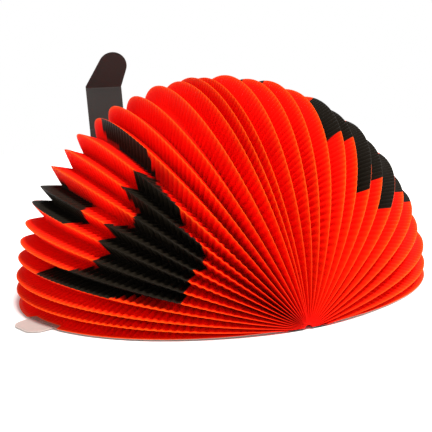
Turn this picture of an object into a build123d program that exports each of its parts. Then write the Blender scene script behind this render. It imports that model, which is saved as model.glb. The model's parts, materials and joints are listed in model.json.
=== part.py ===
"""Accordion paper lantern: a pleated paper ball on two half-round card covers, stood half open.

Millimetres, +Z up. The fold line, about which every pleat turns, runs along Y just under the
covers' outer faces. Angles "from the left cover" are measured about it, over the top.
"""
import math
import os

from build123d import *

# ---- driving dimensions -------------------------------------------------------------------
BALL_R = 125.0          # the open ball is 250 mm across
PLEAT_DEPTH = 15.0      # width of one panel of the zigzag, crest to valley
PLEATS_A_SHEET = 15     # each of the two paper sheets
CARD = 0.6              # thickness of the card of covers, strap and tongue
FOLD_DROP = 0.1         # the fold line lies this far below the covers' outer faces

# ---- the fan of pleats --------------------------------------------------------------------
REST_SPREAD = 180.0     # degrees between the covers as the lantern stands
CLOSED_SPREAD = 19.0    # degrees when it is pressed shut
OPEN_SPREAD = 356.0     # degrees when the covers meet back to back
PLEAT_WEDGE = 0.22      # degrees of thickness of one closed pleat
FOLD_CLEAR_R = 14.0     # pleats start this far from the fold line
COVER_CLEAR_CLOSED = 3.9   # degrees from a cover to the nearest pleat when shut
FIRST_PLEAT = 4.3       # degrees from a cover to the nearest pleat as it stands
SAG = 0.38              # how much closer the lowest pleats on the left lie
SAG_PLEATS = 5.0        # over about how many pleats that fades out
SEAM_STEP = 0.55        # the two gaps beside the glued seam, as a share of the others

# ---- covers -------------------------------------------------------------------------------
COVER_R = BALL_R - 2.0
COVER_INSET = 10.0      # straight edge of a cover from the fold line
STRAP_W = 28.0
STRAP_X = -44.5         # middle of the strap from the fold line
LUG_MARGIN = 6.0        # how much wider the lug is than the strap
LUG_Y = BALL_R + 2.5    # far edge of the left cover's lug, where the strap folds up

# ---- tongue -------------------------------------------------------------------------------
TONGUE_W = 26.0
TONGUE_REACH = 10.5
TONGUE_ANGLE = 67.0     # degrees round the rim from the near pole
TONGUE_ROUND = 8.0
CREASE_GAP = 0.8         # open between two panels of card that fold on each other
NOTCH = 2.0             # depth of the bite in the rim where the tongue folds
SLOT_WIDTH = 1.6
SLOT_IN = 9.0           # slot to rim

# ---- hanging strap ------------------------------------------------------------------------
FOOT_LENGTH = 26.0
LEG_LENGTH = 100.0
BRIDGE_LENGTH = 31.0
TIP_LENGTH = 28.0
TIP_ROUND = 11.0        # radius of its end
TIP_ASIDE = 7.5         # its end's middle from the strap's middle
TIP_TILT = 28.0         # degrees the rounded tip leans over towards the ball
STAPLE_WIRE = 0.5
STAPLE_CROWN = 11.0

# ---- binding thread at each pole ----------------------------------------------------------
THREAD_R = 0.5
THREAD_LOOP_R = 7.5
THREAD_IN = 7.0         # how far inside the pole the loop lies

FOLD_Z = -FOLD_DROP
CARD_TOP = CARD


def pleat_angles():
    """Degrees from the left cover to each pleat at rest, the glued seam's small pleat included."""
    count = 2 * PLEATS_A_SHEET + 1
    seam = PLEATS_A_SHEET
    steps = []
    for gap in range(count - 1):
        step = 1.0 - SAG * math.exp(-gap / SAG_PLEATS)
        if gap in (seam - 1, seam):
            step *= SEAM_STEP
        steps.append(step)
    scale = (REST_SPREAD - 2 * FIRST_PLEAT) / sum(steps)
    angles = [FIRST_PLEAT]
    for step in steps:
        angles.append(angles[-1] + step * scale)
    return angles


def closed_angles(count):
    """The same angles when the lantern is shut: evenly stacked between the covers."""
    pitch = (CLOSED_SPREAD - 2 * COVER_CLEAR_CLOSED) / (count - 1)
    return [COVER_CLEAR_CLOSED + k * pitch for k in range(count)]


def pleat_names():
    names = [f"pleat_{k:02d}" for k in range(1, 2 * PLEATS_A_SHEET + 1)]
    names.insert(PLEATS_A_SHEET, "seam_pleat")
    return names


def band_face(outer, inner):
    """Half ring in the XY plane between two circles, kept clear of the Y axis."""
    end_out = math.degrees(math.acos(FOLD_CLEAR_R / outer))
    end_in = math.degrees(math.acos(FOLD_CLEAR_R / inner))
    rim = CenterArc((0, 0), outer, -end_out, 2 * end_out)
    valley = CenterArc((0, 0), inner, -end_in, 2 * end_in)
    near = Line(rim @ 0, valley @ 0)
    far = Line(rim @ 1, valley @ 1)
    return make_face(Curve() + [rim, valley, near, far])


def pleat(angle, outer):
    """One closed pleat: a thin wedge of the ball, angle degrees over from the left cover."""
    wedge = revolve(band_face(outer, BALL_R - PLEAT_DEPTH), axis=Axis.Y, revolution_arc=PLEAT_WEDGE)
    over = -(REST_SPREAD - angle) - PLEAT_WEDGE / 2
    return Pos(0, 0, FOLD_Z) * (Rot(0, over, 0) * wedge)


def half_disc(side):
    """A cover's outline on the table, side -1 for the left one."""
    disc = Circle(COVER_R)
    keep = Pos(side * (COVER_INSET + COVER_R / 2), 0) * Rectangle(COVER_R, 2 * COVER_R)
    return disc & keep


def at_rim(side, shape):
    """Moves a shape drawn at the origin, reaching along +X, out to the rim where the tongue is."""
    out = -90 - TONGUE_ANGLE if side < 0 else -90 + TONGUE_ANGLE
    return Rot(0, 0, out) * (Pos(COVER_R, 0, 0) * shape)


def left_cover():
    """The cover that stays down, with a lug for the strap and a notch for the tongue."""
    face = half_disc(-1)
    lug = Rectangle(STRAP_W + LUG_MARGIN, LUG_Y - COVER_R / 2, align=(Align.CENTER, Align.MAX))
    notch = Rectangle(3 * NOTCH, TONGUE_W + 2, align=(Align.MIN, Align.CENTER))
    face += Pos(STRAP_X, LUG_Y) * lug
    return extrude(face - at_rim(-1, Pos(-NOTCH, 0) * notch), CARD)


def right_cover():
    """The moving cover, with the slot that takes the tongue when the ball is closed up."""
    slot = at_rim(1, Pos(-SLOT_IN, 0) * Rectangle(SLOT_WIDTH, TONGUE_W + 2))
    return extrude(half_disc(1) - slot, CARD)


def locking_tongue():
    """The round-ended tongue that folds at the left cover's rim."""
    base = CREASE_GAP - NOTCH
    body = Rectangle(TONGUE_REACH - base, TONGUE_W, align=(Align.MIN, Align.CENTER))
    tip = body.vertices().group_by(Axis.X)[-1]
    shape = Pos(base, 0) * fillet(tip, TONGUE_ROUND)
    return extrude(at_rim(-1, shape), CARD)


def strap_foot():
    """The strap's flat end, on the left cover's lug."""
    flat = Box(STRAP_W, FOOT_LENGTH, CARD, align=(Align.CENTER, Align.MAX, Align.MIN))
    return Pos(STRAP_X, LUG_Y, CARD_TOP) * flat


def strip(length):
    return Rectangle(STRAP_W, length, align=(Align.CENTER, Align.MIN))


def tip_outline():
    """The strap's end: full width at the crease, round and a little to the right at the top."""
    base = Rectangle(STRAP_W, 1, align=(Align.CENTER, Align.MIN))
    end = Pos(TIP_ASIDE, TIP_LENGTH - TIP_ROUND) * Circle(TIP_ROUND)
    return make_hull(base.edges() + end.edges())


def upright(face, low):
    """A panel of strap standing in the XZ plane behind the ball, from the height low."""
    panel = Rot(90, 0, 0) * extrude(face, CARD)
    return Pos(STRAP_X, LUG_Y + CREASE_GAP + CARD, low) * panel


def leaned(shape, height, degrees):
    """Turns a panel about a crease along X at that height."""
    crease = Pos(0, LUG_Y + CREASE_GAP + CARD / 2, height)
    return crease * (Rot(degrees, 0, 0) * (crease.inverse() * shape))


def strap_staples():
    """The crowns of the two staples that hold the strap down."""
    crowns = []
    for y in (LUG_Y - FOOT_LENGTH / 3, LUG_Y - FOOT_LENGTH * 4 / 5):
        crown = Box(STAPLE_CROWN, STAPLE_WIRE, STAPLE_WIRE, align=(Align.CENTER, Align.CENTER, Align.MIN))
        crowns.append(Pos(STRAP_X, y, CARD_TOP + CARD) * crown)
    return crowns[0] + crowns[1]


def binding_thread(side):
    """The half loop of thread that gathers the pleats' ends at a pole, side -1 for the near one."""
    path = CenterArc((0, 0), THREAD_LOOP_R, 0, 180)
    start = Plane(path @ 0, x_dir=(0, 0, 1), z_dir=path % 0)
    loop = sweep(start * Circle(THREAD_R), path)
    y = side * (BALL_R - THREAD_IN)
    return Pos(0, y, CARD) * (Rot(90, 0, 0) * loop)


def build_nodes():
    nodes = {
        "left_cover": left_cover(),
        "right_cover": right_cover(),
        "locking_tongue": locking_tongue(),
        "strap_foot": strap_foot(),
        "strap_staples": strap_staples(),
        "strap_leg": upright(strip(LEG_LENGTH), CARD_TOP),
        "near_thread": binding_thread(-1),
        "far_thread": binding_thread(1),
    }
    bridge_low = CARD_TOP + LEG_LENGTH + CREASE_GAP
    tip_low = bridge_low + BRIDGE_LENGTH + CREASE_GAP
    nodes["strap_bridge"] = upright(strip(BRIDGE_LENGTH), bridge_low)
    nodes["strap_tip"] = leaned(upright(tip_outline(), tip_low), tip_low, TIP_TILT)
    for name, angle in zip(pleat_names(), pleat_angles()):
        outer = BALL_R - 1.5 if name == "seam_pleat" else BALL_R
        nodes[name] = pleat(angle, outer)
    return nodes


def centred(nodes):
    """Puts the origin at the bottom centre of the whole, and says how far everything moved."""
    box = Compound(children=[Solid(s.wrapped) for n in nodes.values() for s in n.solids()]).bounding_box()
    shift = Vector(-box.center().X, -box.center().Y, -box.min.Z)
    return {name: Pos(*shift) * shape for name, shape in nodes.items()}, shift


NODES, SHIFT = centred(build_nodes())

os.makedirs("parts", exist_ok=True)
for name, shape in NODES.items():
    export_step(shape, f"parts/{name}.step")
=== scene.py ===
"""Accordion paper lantern: crimped paper folds, card covers and a card strap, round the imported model."""
import json
import math

import bpy
import numpy as np
from bpy.props import FloatProperty, FloatVectorProperty, IntProperty, PointerProperty
from mathutils import Matrix, Vector


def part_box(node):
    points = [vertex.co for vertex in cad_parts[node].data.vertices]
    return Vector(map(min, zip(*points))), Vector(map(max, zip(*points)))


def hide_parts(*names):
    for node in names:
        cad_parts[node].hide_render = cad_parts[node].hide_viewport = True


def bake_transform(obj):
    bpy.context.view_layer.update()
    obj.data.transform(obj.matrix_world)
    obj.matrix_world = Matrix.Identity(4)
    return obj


bl_info = {
    "name": "Accordion paper lantern",
    "version": (1, 0, 0),
    "blender": (4, 5, 0),
    "location": "View3D > Sidebar > Lantern",
    "description": "Builds a pleated paper ball lantern around its packed frame",
    "category": "Object",
}

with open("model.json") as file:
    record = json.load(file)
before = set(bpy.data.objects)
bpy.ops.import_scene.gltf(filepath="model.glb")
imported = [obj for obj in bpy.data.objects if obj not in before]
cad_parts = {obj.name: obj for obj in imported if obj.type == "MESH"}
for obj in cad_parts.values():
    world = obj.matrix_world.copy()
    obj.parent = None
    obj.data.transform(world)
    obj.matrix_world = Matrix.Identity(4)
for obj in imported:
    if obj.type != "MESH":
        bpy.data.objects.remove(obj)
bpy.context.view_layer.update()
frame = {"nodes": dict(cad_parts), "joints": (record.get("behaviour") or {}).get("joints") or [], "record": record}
JOINTS = {joint["name"]: joint for joint in frame["joints"]}
FOLD_LINE = Vector(JOINTS["fan_open"]["pos_m"])
SHARES = {c["joint"]: c["ratio"] for c in frame["record"]["behaviour"]["couplings"]}
STILL, MOVING = "left_cover", "right_cover"


def pleat_angle(node):
    """Degrees from the left cover to a pleat, read from the point of it furthest from the fold line."""
    points = [v.co - FOLD_LINE for v in frame["nodes"][node].data.vertices]
    far = max(points, key=lambda p: p.x * p.x + p.z * p.z)
    return math.degrees(math.atan2(far.z, -far.x))


PLEATS = sorted((n for n in frame["nodes"] if "pleat" in n), key=pleat_angle)
CRESTS = [0.0] + [pleat_angle(n) for n in PLEATS] + [180.0]
TURNS = [0.0] + [SHARES[n + "_turn"] for n in PLEATS] + [1.0]
BODIES = [STILL] + PLEATS + [MOVING]
BALL_R = max(v.co.z for n in PLEATS for v in frame["nodes"][n].data.vertices) - FOLD_LINE.z
BALL_R = round(BALL_R, 4)
CARD_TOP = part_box(STILL)[1][2] + 0.00002
COVER_R = FOLD_LINE.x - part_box(STILL)[0][0] + 0.0004
TONGUE_HINGE = Vector(JOINTS["tongue_fold"]["pos_m"]) - FOLD_LINE
TONGUE_ANGLE = math.atan2(-TONGUE_HINGE.x, -TONGUE_HINGE.y)
TONGUE_HALF = 0.0145 / COVER_R

# Printed shapes, each an outline of (pleat number from the left cover, degrees from the near pole)
PRINT_SHAPES = [
    [(3, 68), (3, 43), (4, 27), (7, 27), (7.5, 25), (9, 28), (9.2, 35), (10, 37), (10.4, 50), (10, 52), (9, 52),
     (8, 44), (7, 50), (5, 49), (4, 55), (3.6, 70)],
    [(10.5, 50), (11, 54), (11, 84), (10.7, 82), (10.5, 70)],
    [(6, 62), (7, 58), (7.5, 62), (7.7, 84), (7.3, 125), (7, 140), (6.9, 122), (6.5, 104), (6, 98)],
    [(5.5, 118), (6, 110), (6.3, 124), (5.9, 138)],
    [(7.9, 140), (8, 120), (8.5, 112), (8.6, 122)],
    [(8.4, 140), (8.6, 114), (9, 122), (8.9, 140)],
    [(9.2, 140), (9.4, 114), (9.8, 118), (9.8, 140)],
    [(21, 50), (23, 54), (23, 80), (21, 77)],
    [(23, 36), (24, 37), (24, 78), (23, 76)],
    [(24, 46), (25, 46), (25, 76), (24, 78)],
    [(25, 38), (26, 38), (26, 72), (25, 74)],
    [(26, 54), (27, 54), (27, 70), (26, 72)],
    [(27, 58), (28, 58), (28, 70), (27, 70)],
    [(18, 92), (19, 86), (20, 84), (20, 96), (19, 102), (18, 106)],
]


# ---- settings -----------------------------------------------------------------------------
class LanternPaper(bpy.types.PropertyGroup):
    """The pleated paper."""

    panel_width: FloatProperty(
        name="Panel width", description="Crest to valley of one panel", default=0.0150, unit="LENGTH"
    )
    thickness: FloatProperty(
        name="Paper thickness", description="Thickness of the sheet", default=0.00016, unit="LENGTH"
    )
    crimp_pitch: FloatProperty(
        name="Crimp pitch", description="Distance between crimps along a fold", default=0.0035, unit="LENGTH"
    )
    crimp_height: FloatProperty(
        name="Crimp height", description="Half height of a crimp at the valley", default=0.0011, unit="LENGTH"
    )
    wobble: FloatProperty(
        name="Hand wobble", description="Degrees a crest strays from its plane", default=0.45
    )
    across: IntProperty(name="Rows across", description="Rows of faces on one panel", default=6, min=2)
    along: IntProperty(name="Faces a crimp", description="Faces along one crimp", default=8, min=3)
    paper: FloatVectorProperty(
        name="Paper", description="Colour of the paper", default=(0.86, 0.0045, 0.0005), subtype="COLOR"
    )
    # Painted light: this orange stands in for light shining through the paper and catching the crests
    crest: FloatVectorProperty(
        name="Crest", description="Colour along the crests", default=(0.92, 0.075, 0.002), subtype="COLOR"
    )
    ink: FloatVectorProperty(
        name="Ink", description="Colour of the black printing", default=(0.012, 0.009, 0.006), subtype="COLOR"
    )


class LanternCard(bpy.types.PropertyGroup):
    """The card pieces."""

    board: FloatVectorProperty(
        name="Board", description="Bare side of the covers", default=(0.30, 0.24, 0.20), subtype="COLOR"
    )
    pale: FloatVectorProperty(
        name="Pale board", description="Bare side of the tongue", default=(0.46, 0.40, 0.37), subtype="COLOR"
    )
    black: FloatVectorProperty(
        name="Black card", description="Colour of the strap", default=(0.010, 0.008, 0.006), subtype="COLOR"
    )
    edge: FloatProperty(name="Worn edge", description="How far wear reaches in", default=0.0012, unit="LENGTH")


class LanternStage(bpy.types.PropertyGroup):
    """Camera and lights."""

    azimuth: FloatProperty(name="Azimuth", description="Camera bearing in degrees", default=-17.4)
    elevation: FloatProperty(name="Elevation", description="Camera height in degrees", default=7.5)
    roll: FloatProperty(name="Roll", description="Camera roll in degrees", default=-4.4)
    distance: FloatProperty(name="Distance", description="Camera to aim, in ball radii", default=3.096)
    aim_up: FloatProperty(name="Aim", description="Aim above the fold line, in ball radii", default=0.303)
    overhead: FloatProperty(name="Overhead", description="Brightness of the world overhead", default=0.25, min=0)
    lens: FloatProperty(name="Lens", description="Focal length in millimetres", default=50.3)
    floor: FloatVectorProperty(
        name="Floor", description="Colour of the floor", default=(0.97, 0.97, 0.97), subtype="COLOR"
    )


# ---- shared shader groups -----------------------------------------------------------------
def new_group(name, inputs, outputs):
    group = bpy.data.node_groups.new(name, "ShaderNodeTree")
    for label, kind, value in inputs:
        socket = group.interface.new_socket(label, in_out="INPUT", socket_type=kind)
        socket.default_value = value
    for label, kind in outputs:
        group.interface.new_socket(label, in_out="OUTPUT", socket_type=kind)
    return group, group.nodes.new("NodeGroupInput"), group.nodes.new("NodeGroupOutput")


def add_node(tree, kind, **settings):
    node = tree.nodes.new(kind)
    for key, value in settings.items():
        setattr(node, key, value)
    return node


def fibre_group():
    """Paper and card fibre: a colour mottled at two sizes, and a height for a bump."""
    group, start, end = new_group(
        "Fibre",
        [("Color", "NodeSocketColor", (1, 1, 1, 1)), ("Scale", "NodeSocketFloat", 900.0),
         ("Mottle", "NodeSocketFloat", 0.2)],
        [("Color", "NodeSocketColor"), ("Height", "NodeSocketFloat")],
    )
    link = group.links.new
    place = add_node(group, "ShaderNodeTexCoord")
    fine = add_node(group, "ShaderNodeTexNoise")
    fine.inputs["Detail"].default_value = 5
    coarse = add_node(group, "ShaderNodeTexNoise")
    coarse.inputs["Scale"].default_value = 45
    darker = add_node(group, "ShaderNodeMix", data_type="RGBA", blend_type="MULTIPLY")
    darker.inputs["B"].default_value = (0.45, 0.40, 0.38, 1)
    amount = add_node(group, "ShaderNodeMath", operation="MULTIPLY")
    both = add_node(group, "ShaderNodeMath", operation="MULTIPLY")
    link(place.outputs["Object"], fine.inputs["Vector"])
    link(place.outputs["Object"], coarse.inputs["Vector"])
    link(start.outputs["Scale"], fine.inputs["Scale"])
    link(fine.outputs["Fac"], both.inputs[0])
    link(coarse.outputs["Fac"], both.inputs[1])
    link(both.outputs[0], amount.inputs[0])
    link(start.outputs["Mottle"], amount.inputs[1])
    link(amount.outputs[0], darker.inputs["Factor"])
    link(start.outputs["Color"], darker.inputs["A"])
    link(darker.outputs["Result"], end.inputs["Color"])
    link(fine.outputs["Fac"], end.inputs["Height"])
    return group


def wear_group():
    """Lighter, rubbed colour where a surface turns sharply."""
    group, start, end = new_group(
        "Worn edge",
        [("Color", "NodeSocketColor", (1, 1, 1, 1)), ("Worn", "NodeSocketColor", (0.6, 0.55, 0.5, 1)),
         ("Reach", "NodeSocketFloat", 0.001), ("Amount", "NodeSocketFloat", 0.5)],
        [("Color", "NodeSocketColor")],
    )
    link = group.links.new
    bevel = add_node(group, "ShaderNodeBevel", samples=4)
    flat = add_node(group, "ShaderNodeNewGeometry")
    dot = add_node(group, "ShaderNodeVectorMath", operation="DOT_PRODUCT")
    ramp = add_node(group, "ShaderNodeMapRange")
    ramp.inputs["From Min"].default_value = 0.995
    ramp.inputs["From Max"].default_value = 0.80
    noise = add_node(group, "ShaderNodeTexNoise")
    noise.inputs["Scale"].default_value = 320
    place = add_node(group, "ShaderNodeTexCoord")
    rub = add_node(group, "ShaderNodeMath", operation="MULTIPLY")
    scaled = add_node(group, "ShaderNodeMath", operation="MULTIPLY", use_clamp=True)
    mix = add_node(group, "ShaderNodeMix", data_type="RGBA")
    link(start.outputs["Reach"], bevel.inputs["Radius"])
    link(bevel.outputs["Normal"], dot.inputs[0])
    link(flat.outputs["Normal"], dot.inputs[1])
    link(dot.outputs["Value"], ramp.inputs["Value"])
    link(place.outputs["Object"], noise.inputs["Vector"])
    link(ramp.outputs["Result"], rub.inputs[0])
    link(noise.outputs["Fac"], rub.inputs[1])
    link(rub.outputs[0], scaled.inputs[0])
    link(start.outputs["Amount"], scaled.inputs[1])
    link(scaled.outputs[0], mix.inputs["Factor"])
    link(start.outputs["Color"], mix.inputs["A"])
    link(start.outputs["Worn"], mix.inputs["B"])
    link(mix.outputs["Result"], end.inputs["Color"])
    return group


def shared(name, make):
    return bpy.data.node_groups.get(name) or make()


def put_group(tree, name, make, **values):
    node = add_node(tree, "ShaderNodeGroup", node_tree=shared(name, make))
    for key, value in values.items():
        node.inputs[key].default_value = value
    return node


def new_material(name, roughness):
    material = bpy.data.materials.new(name)
    material.use_nodes = True
    shader = material.node_tree.nodes["Principled BSDF"]
    shader.inputs["Roughness"].default_value = roughness
    return material, material.node_tree, shader


def bump_into(tree, shader, height, strength, distance):
    bump = add_node(tree, "ShaderNodeBump")
    bump.inputs["Strength"].default_value = strength
    bump.inputs["Distance"].default_value = distance
    tree.links.new(height, bump.inputs["Height"])
    tree.links.new(bump.outputs["Normal"], shader.inputs["Normal"])


# ---- materials ----------------------------------------------------------------------------
def lantern_paper(settings):
    """Thin dyed paper, deep red in the valleys, printed black where ink says; the lighter orange on the crests is
    painted light, standing in for light shining through and catching the folds, faded near the poles.
    """
    material, tree, shader = new_material("crimped lantern paper", 0.62)
    link = tree.links.new
    shader.inputs["Specular IOR Level"].default_value = 0.08
    depth = add_node(tree, "ShaderNodeAttribute", attribute_name="crest")
    ink = add_node(tree, "ShaderNodeAttribute", attribute_name="ink")
    # Painted light: mixes the lighter crest orange over the paper's red along each crest
    crest_painted_light = add_node(tree, "ShaderNodeMix", data_type="RGBA")
    crest_painted_light.inputs["A"].default_value = (*settings.paper, 1)
    crest_painted_light.inputs["B"].default_value = (*settings.crest, 1)
    fibre = put_group(tree, "Fibre", fibre_group, Scale=700.0, Mottle=0.55)
    printed = add_node(tree, "ShaderNodeMix", data_type="RGBA")
    printed.inputs["B"].default_value = (*settings.ink, 1)
    rough = add_node(tree, "ShaderNodeMapRange")
    rough.inputs["To Min"].default_value = 0.66
    rough.inputs["To Max"].default_value = 0.46
    link(depth.outputs["Fac"], crest_painted_light.inputs["Factor"])
    link(crest_painted_light.outputs["Result"], fibre.inputs["Color"])
    link(ink.outputs["Fac"], printed.inputs["Factor"])
    link(fibre.outputs["Color"], printed.inputs["A"])
    link(printed.outputs["Result"], shader.inputs["Base Color"])
    link(ink.outputs["Fac"], rough.inputs["Value"])
    link(rough.outputs["Result"], shader.inputs["Roughness"])
    bump_into(tree, shader, fibre.outputs["Height"], 0.25, 0.0001)
    return material


def card_material(name, color, worn, roughness, wear, reach):
    material, tree, shader = new_material(name, roughness)
    fibre = put_group(tree, "Fibre", fibre_group, Color=(*color, 1), Scale=520.0, Mottle=0.5)
    edge = put_group(tree, "Worn edge", wear_group, Worn=(*worn, 1), Reach=reach, Amount=wear)
    tree.links.new(fibre.outputs["Color"], edge.inputs["Color"])
    tree.links.new(edge.outputs["Color"], shader.inputs["Base Color"])
    bump_into(tree, shader, fibre.outputs["Height"], 0.3, 0.00015)
    return material


def wire_material():
    material, tree, shader = new_material("staple wire", 0.32)
    shader.inputs["Metallic"].default_value = 1.0
    fibre = put_group(tree, "Fibre", fibre_group, Color=(0.62, 0.61, 0.58, 1), Scale=1500.0, Mottle=0.4)
    tree.links.new(fibre.outputs["Color"], shader.inputs["Base Color"])
    bump_into(tree, shader, fibre.outputs["Height"], 0.15, 0.00005)
    return material


def give(obj, material):
    obj.data.materials.clear()
    obj.data.materials.append(material)


# ---- modelling helpers --------------------------------------------------------------------
def deselect():
    if bpy.context.object and bpy.context.object.mode != "OBJECT":
        bpy.ops.object.mode_set(mode="OBJECT")
    bpy.ops.object.select_all(action="DESELECT")


def grid(name, columns, rows):
    """A flat grid from -1 to 1 both ways, to be bent into shape."""
    deselect()
    bpy.ops.mesh.primitive_grid_add(x_subdivisions=columns, y_subdivisions=rows, size=2)
    piece = bpy.context.object
    piece.name = name
    piece.data.name = name
    return piece


def points_of(piece):
    co = np.zeros(len(piece.data.vertices) * 3)
    piece.data.vertices.foreach_get("co", co)
    return co.reshape(-1, 3)


def bend_to(piece, points):
    piece.data.vertices.foreach_set("co", points.astype(np.float32).ravel())
    piece.data.update()


def keep_value(piece, name, values):
    attribute = piece.data.attributes.new(name, "FLOAT", "POINT")
    attribute.data.foreach_set("value", values.astype(np.float32))


def read_value(piece, name):
    values = np.zeros(len(piece.data.vertices), np.float32)
    piece.data.attributes[name].data.foreach_get("value", values)
    return values


def thicken(piece, thickness, offset=0.0):
    deselect()
    piece.select_set(True)
    bpy.context.view_layer.objects.active = piece
    modifier = piece.modifiers.new("thickness", "SOLIDIFY")
    modifier.thickness = thickness
    modifier.offset = offset
    bpy.ops.object.modifier_apply(modifier=modifier.name)


def inside(shape, x, y):
    """Which of the points lie inside a closed outline."""
    found = np.zeros(len(x), bool)
    for (x0, y0), (x1, y1) in zip(shape, shape[1:] + shape[:1]):
        if y0 == y1:
            continue
        crosses = (y0 > y) != (y1 > y)
        found ^= crosses & (x < (x1 - x0) * (y - y0) / (y1 - y0) + x0)
    return found


# ---- the paper ----------------------------------------------------------------------------
POLE_GAP = math.radians(0.9)


def on_ball(radius, along, angle):
    """Points at a distance from the ball's centre, degrees from the near pole and round the fold line."""
    return np.stack(
        [
            FOLD_LINE.x - radius * np.sin(along) * np.cos(angle),
            FOLD_LINE.y - radius * np.cos(along),
            FOLD_LINE.z + radius * np.sin(along) * np.sin(angle),
        ],
        axis=1,
    )


def crest_angle(number, along, wobble):
    """A crest's angle, a little off its plane in the middle of the fold, as paper folded by hand is."""
    if number in (0, len(CRESTS) - 1):
        return math.radians(CRESTS[number]) + 0 * along
    sway = math.sin(number * 2.4) * np.sin(along) + 0.5 * math.cos(number * 1.7) * np.sin(2 * along)
    room = min(CRESTS[number] - CRESTS[number - 1], CRESTS[number + 1] - CRESTS[number]) / 6.5
    return math.radians(CRESTS[number]) + math.radians(wobble) * room * sway


def crest_radius(number, along):
    if number in (0, len(CRESTS) - 1):
        beside = np.clip((np.abs(along - TONGUE_ANGLE) - TONGUE_HALF) / 0.02, 0, 1)
        return COVER_R - 0.0042 * (1 - beside) * (number == 0)
    return BALL_R * (1 - 0.006 * (1 + math.sin(number * 3.1)) * np.sin(along) ** 2)


def fold_of_paper(number, settings, material):
    """One valley of paper, from crest to crest, crimped across both its panels."""
    crimps = round((BALL_R - settings.panel_width / 2) * (math.pi - 2 * POLE_GAP) / settings.crimp_pitch)
    piece = grid(f"paper_fold_{number:02d}", crimps * settings.along, settings.across * 2)
    flat = points_of(piece)
    along = POLE_GAP + (flat[:, 0] + 1) / 2 * (math.pi - 2 * POLE_GAP)
    across = flat[:, 1]
    low, high = (crest_angle(n, along, settings.wobble) for n in (number, number + 1))
    half_gap = BALL_R * np.sin(along) * (high - low) / 2
    depth = np.sqrt(np.maximum(settings.panel_width**2 - half_gap**2, 1e-8))
    radii = [crest_radius(n, along) for n in (number, number + 1)]
    top = np.where(across < 0, *radii)
    toward = 1 - (1 - np.abs(across)) ** 2
    side = np.where(across < 0, low, high)
    crest_points = on_ball(top, along, side)
    valley_points = on_ball(BALL_R - depth, along, (low + high) / 2)
    points = valley_points + (crest_points - valley_points) * toward[:, None]
    fill = np.clip((np.sin(along) - 0.08) / 0.55, 0, 1) ** 1.2
    height = settings.crimp_height * (0.07 + 0.93 * (1 - toward) ** 0.6) * fill
    wave = height * np.sin((along - POLE_GAP) / (math.pi - 2 * POLE_GAP) * crimps * 2 * math.pi)
    middle = (low + high) / 2
    sideways = np.stack([np.sin(middle), 0 * middle, np.cos(middle)], axis=1)
    points = points + sideways * wave[:, None]
    points[:, 2] = np.maximum(points[:, 2], CARD_TOP + settings.thickness / 2)
    bend_to(piece, points)
    share = (1 + np.sign(across) * toward) / 2
    turn = TURNS[number] + (TURNS[number + 1] - TURNS[number]) * share
    column = number + np.clip(share, 0.02, 0.98)
    ink = np.zeros(len(flat))
    for shape in PRINT_SHAPES:
        ink[inside(shape, column, np.degrees(along))] = 1
    keep_value(piece, "ink", ink)
    # Mask for painted light: near 1 on the crests, fading out towards the poles
    keep_value(piece, "crest", toward**12 * np.clip(np.sin(along) * 2.2 - 0.1, 0, 1))
    keep_value(piece, "turn", turn / TURNS[number + 1])
    thicken(piece, settings.thickness)
    give(piece, material)
    piece.data.shade_smooth()
    far_body = BODIES[number + 1]
    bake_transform(piece)
    read_value(piece, "turn")
    if far_body in PLEATS:
        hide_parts(far_body)
    return piece


class LANTERN_OT_paper(bpy.types.Operator):
    """Folds and crimps the two printed sheets, one valley at a time"""

    bl_idname = "lantern.paper"
    bl_label = "Paper folds"

    def execute(self, context):
        settings = context.scene.lantern_paper
        material = lantern_paper(settings)
        for number in range(len(CRESTS) - 1):
            fold_of_paper(number, settings, material)
        return {"FINISHED"}


class LANTERN_OT_cards(bpy.types.Operator):
    """Finishes the covers, the tongue and the strap"""

    bl_idname = "lantern.cards"
    bl_label = "Card pieces"

    def execute(self, context):
        card = context.scene.lantern_card
        bare = (0.66, 0.60, 0.54)
        board = card_material("grey board", card.board, bare, 0.85, 0.5, card.edge)
        pale = card_material("pale board", card.pale, (0.8, 0.74, 0.68), 0.7, 0.4, card.edge)
        black = card_material("black card", card.black, (0.07, 0.055, 0.045), 0.55, 0.4, card.edge)
        for node in ("left_cover", "right_cover"):
            give(frame["nodes"][node], board)
        give(frame["nodes"]["locking_tongue"], pale)
        for node in ("strap_foot", "strap_leg", "strap_bridge", "strap_tip"):
            give(frame["nodes"][node], black)
        crease_strip("strap_crease_1", "strap_bridge_fold", black)
        crease_strip("strap_crease_2", "strap_tip_fold", black)
        return {"FINISHED"}


def crease_strip(name, joint, material):
    """The scored card between two panels of the strap, a strip with a slight bow across the crease."""
    crease = Vector(JOINTS[joint]["pos_m"])
    low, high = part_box("strap_bridge")
    gap = min(abs(low[2] - crease.z), abs(high[2] - crease.z))
    reach = gap + 0.0002
    strip = grid(name, 14, 6)
    flat = points_of(strip)
    width, middle = (high[0] - low[0]) / 2 - 0.00003, (high[0] + low[0]) / 2
    score = 0.00012 * np.cos(flat[:, 1] * math.pi / 2)
    points = np.stack(
        [middle + flat[:, 0] * width, crease.y + score, crease.z + flat[:, 1] * reach], axis=1
    )
    bend_to(strip, points)
    thicken(strip, 0.0005)
    give(strip, material)
    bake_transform(strip)


class LANTERN_OT_fastenings(bpy.types.Operator):
    """Finishes the staples and the thread at each pole"""

    bl_idname = "lantern.fastenings"
    bl_label = "Staples and thread"

    def execute(self, context):
        give(frame["nodes"]["strap_staples"], wire_material())
        cotton = card_material("red cotton", (0.45, 0.03, 0.01), (0.5, 0.1, 0.05), 0.9, 0.1, 0.0002)
        for node in ("near_thread", "far_thread"):
            give(frame["nodes"][node], cotton)
        return {"FINISHED"}


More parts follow.
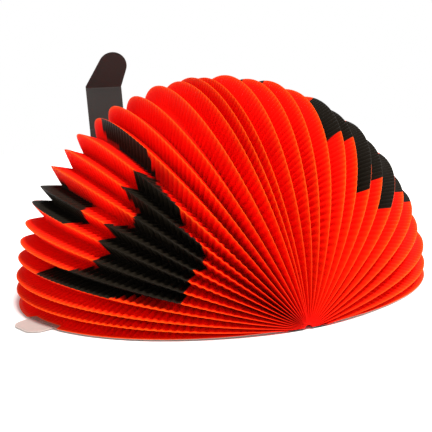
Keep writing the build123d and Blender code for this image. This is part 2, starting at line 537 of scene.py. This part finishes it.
# ---- stage --------------------------------------------------------------------------------
def soft_light(name, toward, power, spread, color):
    data = bpy.data.lights.new(name, "SUN")
    data.energy = power
    data.angle = math.radians(spread)
    data.color = color
    light = bpy.data.objects.new(name, data)
    light.rotation_euler = Vector(toward).to_track_quat("Z", "Y").to_euler()
    bpy.context.scene.collection.objects.link(light)


def studio_world(settings):
    """White all round at eye level, dimmer overhead so that the folds keep their shadows."""
    world = bpy.data.worlds.new("studio")
    world.use_nodes = True
    tree = world.node_tree
    background = tree.nodes["Background"]
    place = add_node(tree, "ShaderNodeTexCoord")
    split = add_node(tree, "ShaderNodeSeparateXYZ")
    height = add_node(tree, "ShaderNodeMapRange", interpolation_type="SMOOTHSTEP")
    height.inputs["From Min"].default_value = 0.45
    height.inputs["From Max"].default_value = 0.75
    height.inputs["To Min"].default_value = 1.0
    height.inputs["To Max"].default_value = settings.overhead
    tree.links.new(place.outputs["Generated"], split.inputs["Vector"])
    tree.links.new(split.outputs["Z"], height.inputs["Value"])
    tree.links.new(height.outputs["Result"], background.inputs["Strength"])
    background.inputs["Color"].default_value = (1, 1, 1, 1)
    bpy.context.scene.world = world


def camera(settings):
    turn, lift, roll = (math.radians(a) for a in (settings.azimuth, settings.elevation, settings.roll))
    back = Vector((math.sin(turn) * math.cos(lift), -math.cos(turn) * math.cos(lift), math.sin(lift)))
    right = Vector((math.cos(turn), math.sin(turn), 0))
    up = back.cross(right)
    place = FOLD_LINE + (up * settings.aim_up + back * settings.distance) * BALL_R
    tilted_right = right * math.cos(roll) + up * math.sin(roll)
    tilted_up = up * math.cos(roll) - right * math.sin(roll)
    data = bpy.data.cameras.new("camera")
    data.lens = settings.lens
    data.clip_start = 0.005
    lens = bpy.data.objects.new("camera", data)
    turned = Matrix((tilted_right, tilted_up, back)).transposed().to_4x4()
    lens.matrix_world = Matrix.Translation(place) @ turned
    bpy.context.scene.collection.objects.link(lens)
    bpy.context.scene.camera = lens


class LANTERN_OT_stage(bpy.types.Operator):
    """Sets the floor, the soft lights and the camera"""

    bl_idname = "lantern.stage"
    bl_label = "Stage"

    def execute(self, context):
        settings = context.scene.lantern_stage
        camera(settings)
        deselect()
        bpy.ops.mesh.primitive_plane_add(size=40, location=(0, 0, -0.0004))
        floor = context.object
        floor.name = "floor"
        material, _, shader = new_material("pale floor", 0.9)
        shader.inputs["Base Color"].default_value = (*settings.floor, 1)
        shader.inputs["Specular IOR Level"].default_value = 0.0
        give(floor, material)
        studio_world(settings)
        context.scene.view_settings.view_transform = "Standard"
        soft_light("key", (0.2, -0.5, 1.0), 4.2, 16, (1, 0.98, 0.95))
        soft_light("right", (1.0, -0.1, 0.35), 1.6, 25, (1, 0.99, 0.96))
        return {"FINISHED"}


# ---- panel and registration ---------------------------------------------------------------
class LANTERN_PT_panel(bpy.types.Panel):
    """Lists the lantern's pieces and their settings"""

    bl_label = "Paper lantern"
    bl_idname = "LANTERN_PT_panel"
    bl_space_type = "VIEW_3D"
    bl_region_type = "UI"
    bl_category = "Lantern"

    def draw(self, context):
        for operator in STEPS:
            self.layout.operator(operator)
        for group in ("lantern_paper", "lantern_card", "lantern_stage"):
            settings = getattr(context.scene, group)
            for name in settings.bl_rna.properties.keys():
                if name not in ("rna_type", "name"):
                    self.layout.prop(settings, name)


STEPS = ("lantern.stage", "lantern.paper", "lantern.cards", "lantern.fastenings")
CLASSES = (
    LanternPaper,
    LanternCard,
    LanternStage,
    LANTERN_OT_paper,
    LANTERN_OT_cards,
    LANTERN_OT_fastenings,
    LANTERN_OT_stage,
    LANTERN_PT_panel,
)


def register():
    for cls in CLASSES:
        bpy.utils.register_class(cls)
    bpy.types.Scene.lantern_paper = PointerProperty(type=LanternPaper)
    bpy.types.Scene.lantern_card = PointerProperty(type=LanternCard)
    bpy.types.Scene.lantern_stage = PointerProperty(type=LanternStage)


def unregister():
    del bpy.types.Scene.lantern_stage
    del bpy.types.Scene.lantern_card
    del bpy.types.Scene.lantern_paper
    for cls in reversed(CLASSES):
        bpy.utils.unregister_class(cls)


def main():
    register()
    for step in STEPS:
        group, name = step.split(".")
        getattr(getattr(bpy.ops, group), name)()


if __name__ == "__main__":
    main()
